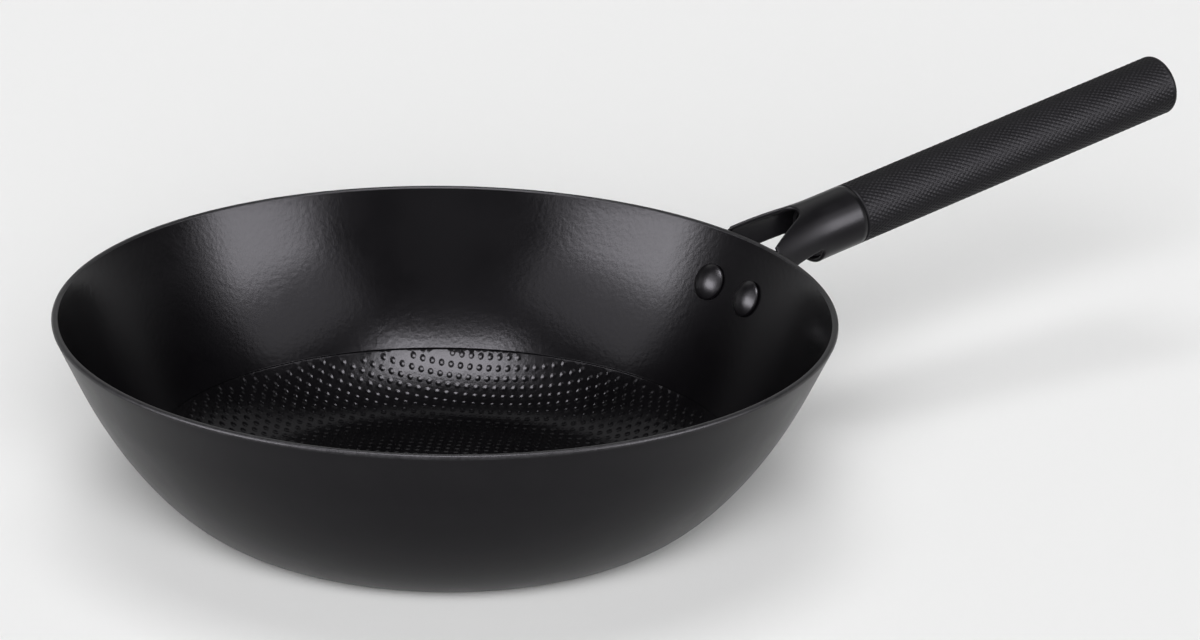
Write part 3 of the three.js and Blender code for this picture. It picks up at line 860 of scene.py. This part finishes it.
def coat_grain_group():
    """Node group: fine grain of a coating as height, with slow changes of its shade and its roughness."""
    name = "coat grain"
    if name in bpy.data.node_groups:
        return bpy.data.node_groups[name]
    tree = bpy.data.node_groups.new(name, "ShaderNodeTree")
    for way, kind, labels in (
        ("INPUT", "NodeSocketFloat", ("Grain Size", "Cloud Size", "Smooth", "Rough")),
        ("INPUT", "NodeSocketColor", ("Dark", "Light")),
        ("OUTPUT", "NodeSocketColor", ("Shade",)),
        ("OUTPUT", "NodeSocketFloat", ("Roughness", "Height")),
    ):
        for label in labels:
            tree.interface.new_socket(label, in_out=way, socket_type=kind)
    source = tree.nodes.new("NodeGroupInput").outputs
    place = tree.nodes.new("ShaderNodeTexCoord").outputs["Object"]
    grain, cloud = (
        add_node(tree, "ShaderNodeTexNoise", {
            "Vector": place, "Scale": source[size], "Detail": detail, "Roughness": roughness,
        }).outputs["Fac"]
        for size, detail, roughness in (("Grain Size", 3.0, 0.55), ("Cloud Size", 4.0, 0.6))
    )
    # The roughness follows the clouds and a third of the grain, the shade only the clouds.
    blend = add_node(tree, "ShaderNodeMath", {0: grain, 1: 0.35, 2: cloud}, operation="MULTIPLY_ADD")
    rough = add_node(tree, "ShaderNodeMapRange", {
        "Value": blend.outputs[0], "From Min": 0.3, "From Max": 0.7,
        "To Min": source["Smooth"], "To Max": source["Rough"],
    })
    spread = add_node(tree, "ShaderNodeMapRange", {"Value": cloud, "From Min": 0.35, "From Max": 0.65})
    shade = add_node(tree, "ShaderNodeMix", {
        "Factor": spread.outputs["Result"], "A": source["Dark"], "B": source["Light"],
    }, data_type="RGBA")
    add_node(tree, "NodeGroupOutput", {
        "Shade": shade.outputs["Result"], "Roughness": rough.outputs["Result"], "Height": grain,
    })
    return tree


def coated(name, colour):
    """Finish of the table in a colour: shade, roughness and relief from the coat grain group."""
    material = bpy.data.materials.get(name)
    if material:
        return material
    coat = COATS[name]
    material = bpy.data.materials.new(name)
    material.use_nodes = True
    tree = material.node_tree
    shader = tree.nodes["Principled BSDF"]
    grain = add_node(tree, "ShaderNodeGroup", {
        "Grain Size": coat.grain, "Cloud Size": coat.cloud,
        "Dark": [*(v * (1.0 - coat.spread) for v in colour), 1.0],
        "Light": [*(v * (1.0 + coat.spread) for v in colour), 1.0],
        "Smooth": coat.roughness[0], "Rough": coat.roughness[1],
    }, node_tree=coat_grain_group()).outputs
    bump = add_node(tree, "ShaderNodeBump", {
        "Strength": 1.0, "Distance": coat.relief, "Height": grain["Height"],
    })
    feed(shader, {
        "Metallic": coat.metallic, "IOR": coat.ior, "Base Color": grain["Shade"],
        "Roughness": grain["Roughness"], "Normal": bump.outputs["Normal"],
    })
    if not coat.metallic:
        feed(shader, {"Specular Tint": COOL_SHEEN})
    return material


# Stage


def direction(azimuth, elevation):
    """Unit vector from the wok towards an azimuth, counted from -Y towards +X, and an elevation."""
    flat = math.cos(elevation)
    return Vector((math.sin(azimuth) * flat, -math.cos(azimuth) * flat, math.sin(elevation)))


def lay_floor(stage):
    """Wide square floor just below the wok's underside."""
    span, drop = 14.0, -0.2 * MM
    corners = [(-span, -span, drop), (span, -span, drop), (span, span, drop), (-span, span, drop)]
    mesh = bpy.data.meshes.new("floor")
    mesh.from_pydata(corners, [], [(0, 1, 2, 3)])
    material = bpy.data.materials.new("floor")
    material.use_nodes = True
    feed(material.node_tree.nodes["Principled BSDF"], {
        "Base Color": (*stage.floor, 1.0), "Roughness": 1.0, "Specular IOR Level": 0.0,
    })
    mesh.materials.append(material)
    floor = new_object("floor", mesh)


def light_room(scene, stage):
    """Ambient light, more of it from the camera's side; reflections show a room that darkens upwards."""
    # Sine of the elevation at which the room is darkest, height of the light from the camera's side, and
    # cosines of the angles from its middle at which it begins and is full.
    darkest, front_height, front_edge, front_full = 0.42, math.radians(25.0), 0.88, 0.99
    world = bpy.data.worlds.new("room")
    scene.world = world
    world.use_nodes = True
    tree = world.node_tree
    tree.nodes.clear()
    place = tree.nodes.new("ShaderNodeTexCoord").outputs["Generated"]
    path = tree.nodes.new("ShaderNodeLightPath").outputs
    split = add_node(tree, "ShaderNodeSeparateXYZ", {"Vector": place})
    facing = add_node(tree, "ShaderNodeVectorMath", {
        0: place, 1: direction(stage.azimuth, front_height),
    }, operation="DOT_PRODUCT")
    fade, glow = (
        add_node(tree, "ShaderNodeMapRange", {
            "Value": value, "From Min": start, "From Max": end, "To Min": low, "To Max": high,
        }, interpolation_type="SMOOTHSTEP").outputs["Result"]
        for value, start, end, low, high in (
            (split.outputs["Z"], 0.0, darkest, stage.horizon, stage.ceiling),
            (facing.outputs["Value"], front_edge, front_full, stage.ambient, stage.front),
        )
    )
    # Reflections show the room, the camera sees the backdrop, and the rest is ambient light.
    mirror = add_node(tree, "ShaderNodeMix", {0: path["Is Glossy Ray"], 2: glow, 3: fade})
    shown = add_node(tree, "ShaderNodeMix", {
        0: path["Is Camera Ray"], 2: mirror.outputs[0], 3: stage.backdrop,
    })
    light = add_node(tree, "ShaderNodeBackground", {
        "Color": (1.0, 1.0, 1.0, 1.0), "Strength": shown.outputs[0],
    })
    add_node(tree, "ShaderNodeOutputWorld", {"Surface": light.outputs[0]})


def hang_softbox(stage, name, azimuth, elevation, wide, high, brightness):
    """Softbox eight metres away that faces the wok; its power gives its face the wanted brightness."""
    away = 8.0
    back = direction(stage.azimuth + math.radians(azimuth), math.radians(elevation))
    lamp = bpy.data.lights.new(name, "AREA")
    lamp.shape = "RECTANGLE"
    lamp.size = 2.0 * away * math.tan(math.radians(wide) / 2)
    lamp.size_y = 2.0 * away * math.tan(math.radians(high) / 2)
    lamp.energy = brightness * math.pi * lamp.size * lamp.size_y
    softbox = new_object(name, lamp)
    softbox.location = away * back
    softbox.rotation_euler = back.to_track_quat("Z", "Y").to_euler()
    return softbox


def place_camera(scene, stage):
    """Camera axes from azimuth, elevation and roll; its place from the rim's centre."""
    azimuth, roll = stage.azimuth, stage.roll
    back = direction(azimuth, stage.elevation)
    level = Vector((math.cos(azimuth), math.sin(azimuth), 0.0))
    upright = back.cross(level)
    right = math.cos(roll) * level + math.sin(roll) * upright
    up = math.cos(roll) * upright - math.sin(roll) * level
    spot = Vector((0.0, 0.0, scene.wok.bowl.rim_height)) + stage.distance * back
    spot += stage.slide_right * right + stage.slide_up * up
    lens = bpy.data.cameras.new("camera")
    lens.sensor_width = 36.0
    lens.sensor_fit = "HORIZONTAL"
    lens.lens = stage.lens
    camera = new_object("camera", lens)
    axes = Matrix((right, up, back)).transposed().to_4x4()
    camera.matrix_world = Matrix.Translation(spot) @ axes
    scene.camera = camera


# Operators


class WOK_OT_bowl(Operator):
    """Make the bowl: one closed surface with a rounded rim, a sunk field and its dimples"""

    bl_idname = "wok.bowl"
    bl_label = "Bowl"

    def execute(self, context):
        settings = context.scene.wok
        bowl, colours = settings.bowl, settings.finish
        columns = bowl.segments
        profile, finish, edge_t = bowl_profile(bowl)
        shell, quads = revolved(profile[1:, :1], profile[1:, 1:], columns)
        field, triangles, shaded = dimple_field(bowl, edge_t, shell[-columns:])
        # The underside's middle is one point with a fan around it; field and shell share the field's edge.
        shell = np.concatenate([np.zeros((1, 3)), shell])
        points = np.concatenate([shell, field[columns:]])
        normals = np.concatenate([np.zeros_like(shell), shaded[columns:]])
        step = np.arange(columns)
        fan = np.stack([0 * step, 1 + (step + 1) % columns, 1 + step], -1)
        triangles = triangles + len(shell) - columns
        faces = fan.tolist() + (1 + np.array(quads)).tolist() + triangles.tolist()
        slots = np.concatenate([np.repeat(finish, columns), np.ones(len(triangles), np.int32)])
        finishes = [
            coated("bowl outside", colours.outside),
            coated("bowl inside", colours.inside),
            coated("bowl rim", colours.rim),
        ]
        piece = new_piece("bowl", points, faces, finishes, slots, normals)
        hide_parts("wok_body")
        return {"FINISHED"}


class WOK_OT_bracket(Operator):
    """Make the bracket: socket and forked arms of one sheet with rounded edges, and the saddle plate"""

    bl_idname = "wok.bracket"
    bl_label = "Bracket"

    def execute(self, context):
        settings = context.scene.wok
        bracket, bowl = settings.bracket, settings.bowl
        seat = rivet_radius(settings.rivet, bowl)
        half = fork_patches(bracket, bowl, bracket.joint_reach - seat)
        fork = joined(half + mirrored(half))
        saddle = joined(saddle_patches(bracket, bowl))
        points, faces = joined([fork, saddle])
        finish = coated("bracket coating", settings.finish.bracket)
        piece = new_piece("bracket", points, faces, [finish])
        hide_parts("handle_bracket")
        return {"FINISHED"}


class WOK_OT_rivets(Operator):
    """Make the two rivets, square to the wall"""

    bl_idname = "wok.rivets"
    bl_label = "Rivets"

    def execute(self, context):
        settings = context.scene.wok
        bowl, rivet = settings.bowl, settings.rivet
        profile = rivet_profile(rivet, bowl, settings.bracket)
        points, faces = revolved(profile[:, :1], profile[:, 1:], 64)
        finish = coated("rivet coating", settings.finish.inside)
        height = bowl.rim_height - rivet.drop
        radius = rivet_radius(rivet, bowl)
        for node, side in (("rivet_left", -1.0), ("rivet_right", 1.0)):
            turn = side * math.asin(rivet.spacing / 2 / radius)
            out = np.array([math.cos(turn), math.sin(turn), 0.0])
            axis = math.cos(bowl.wall_lean) * out - math.sin(bowl.wall_lean) * UP
            spot = radius * out + height * UP
            placed_points, placed_faces = joined([(turned_onto(points, spot, axis, UP), faces)])
            piece = new_piece(node.replace("rivet", "riveted_pin"), placed_points, placed_faces, [finish])
            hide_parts(node)
        return {"FINISHED"}


class WOK_OT_grip(Operator):
    """Make the grip: a spigot, a crossed knurl and a closed round end"""

    bl_idname = "wok.grip"
    bl_label = "Grip"

    def execute(self, context):
        settings = context.scene.wok
        joint, along, _, up = bracket_axes(settings.bracket)
        points, faces = grip_mesh(settings.grip, settings.bracket)
        points, faces = joined([(turned_onto(points, joint, along, up), faces)])
        finish = coated("grip resin", settings.finish.resin)
        piece = new_piece("knurled_grip", points, faces, [finish])
        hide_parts("grip")
        return {"FINISHED"}


class WOK_OT_fixing(Operator):
    """Finish the fixing inside the socket: cup, washer, screw and insert"""

    bl_idname = "wok.fixing"
    bl_label = "Fixing"

    def execute(self, context):
        colours = context.scene.wok.finish
        dark = coated("cup coating", colours.bracket)
        steel = coated("plain steel", colours.steel)
        brass = coated("plain brass", colours.brass)
        for name, finish in (
            ("socket_cup", dark), ("lock_washer", steel), ("handle_screw", steel), ("thread_insert", brass),
        ):
            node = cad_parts[name]
            node.data.materials.clear()
            node.data.materials.append(finish)
        return {"FINISHED"}


class WOK_OT_stage(Operator):
    """Set the floor, the room, the softboxes and the camera"""

    bl_idname = "wok.stage"
    bl_label = "Stage"

    def execute(self, context):
        scene = context.scene
        stage = scene.wok.stage
        scene.view_settings.view_transform = "Standard"
        lay_floor(stage)
        light_room(scene, stage)
        # Azimuth from the camera's side towards its right, elevation, and how wide and high each looks, all
        # in degrees, then its brightness.
        for name, azimuth, elevation, wide, high, brightness in (
            ("key", -61.0, 17.0, 38.0, 26.0, stage.key),
            ("key wash", -61.0, 27.0, 48.0, 48.0, stage.wash),
            ("fill", 64.0, 18.0, 30.0, 28.0, stage.fill),
            ("fill wash", 65.0, 28.0, 40.0, 50.0, stage.wash),
            ("top", 0.0, 76.0, 32.0, 19.0, stage.top),
            ("back", 180.0, 42.0, 70.0, 34.0, stage.back),
            ("over", 45.0, 95.0, 32.0, 32.0, stage.over),
        ):
            softbox = hang_softbox(stage, name, azimuth, elevation, wide, high, brightness)
            # The cards are seen only in reflections; the lamp over the handle lights and shades the floor.
            softbox.visible_diffuse = name == "over"
            softbox.visible_glossy = name != "over"
        place_camera(scene, stage)
        return {"FINISHED"}


class WOK_PT_panel(Panel):
    """Sidebar panel with the wok's settings and the operators that build it"""

    bl_label = "Wok"
    bl_idname = "WOK_PT_panel"
    bl_space_type = "VIEW_3D"
    bl_region_type = "UI"
    bl_category = "Wok"

    def draw(self, context):
        settings = context.scene.wok
        for group in ("bowl", "bracket", "rivet", "grip", "finish", "stage"):
            box = self.layout.box()
            box.label(text=group.title())
            values = getattr(settings, group)
            for key in type(values).__annotations__:
                box.prop(values, key)
        for operator in OPERATORS:
            self.layout.operator(operator.bl_idname)


OPERATORS = (WOK_OT_stage, WOK_OT_bowl, WOK_OT_bracket, WOK_OT_rivets, WOK_OT_grip, WOK_OT_fixing)
CLASSES = (
    WokBowlSettings, WokBracketSettings, WokRivetSettings, WokGripSettings, WokFinishSettings,
    WokStageSettings, WokSettings, *OPERATORS, WOK_PT_panel,
)


def register():
    for cls in CLASSES:
        bpy.utils.register_class(cls)
    bpy.types.Scene.wok = PointerProperty(type=WokSettings)


def unregister():
    del bpy.types.Scene.wok
    for cls in reversed(CLASSES):
        bpy.utils.unregister_class(cls)


def main():
    register()
    bpy.ops.wok.stage()
    bpy.ops.wok.bowl()
    bpy.ops.wok.bracket()
    bpy.ops.wok.rivets()
    bpy.ops.wok.grip()
    bpy.ops.wok.fixing()


if __name__ == "__main__":
    main()
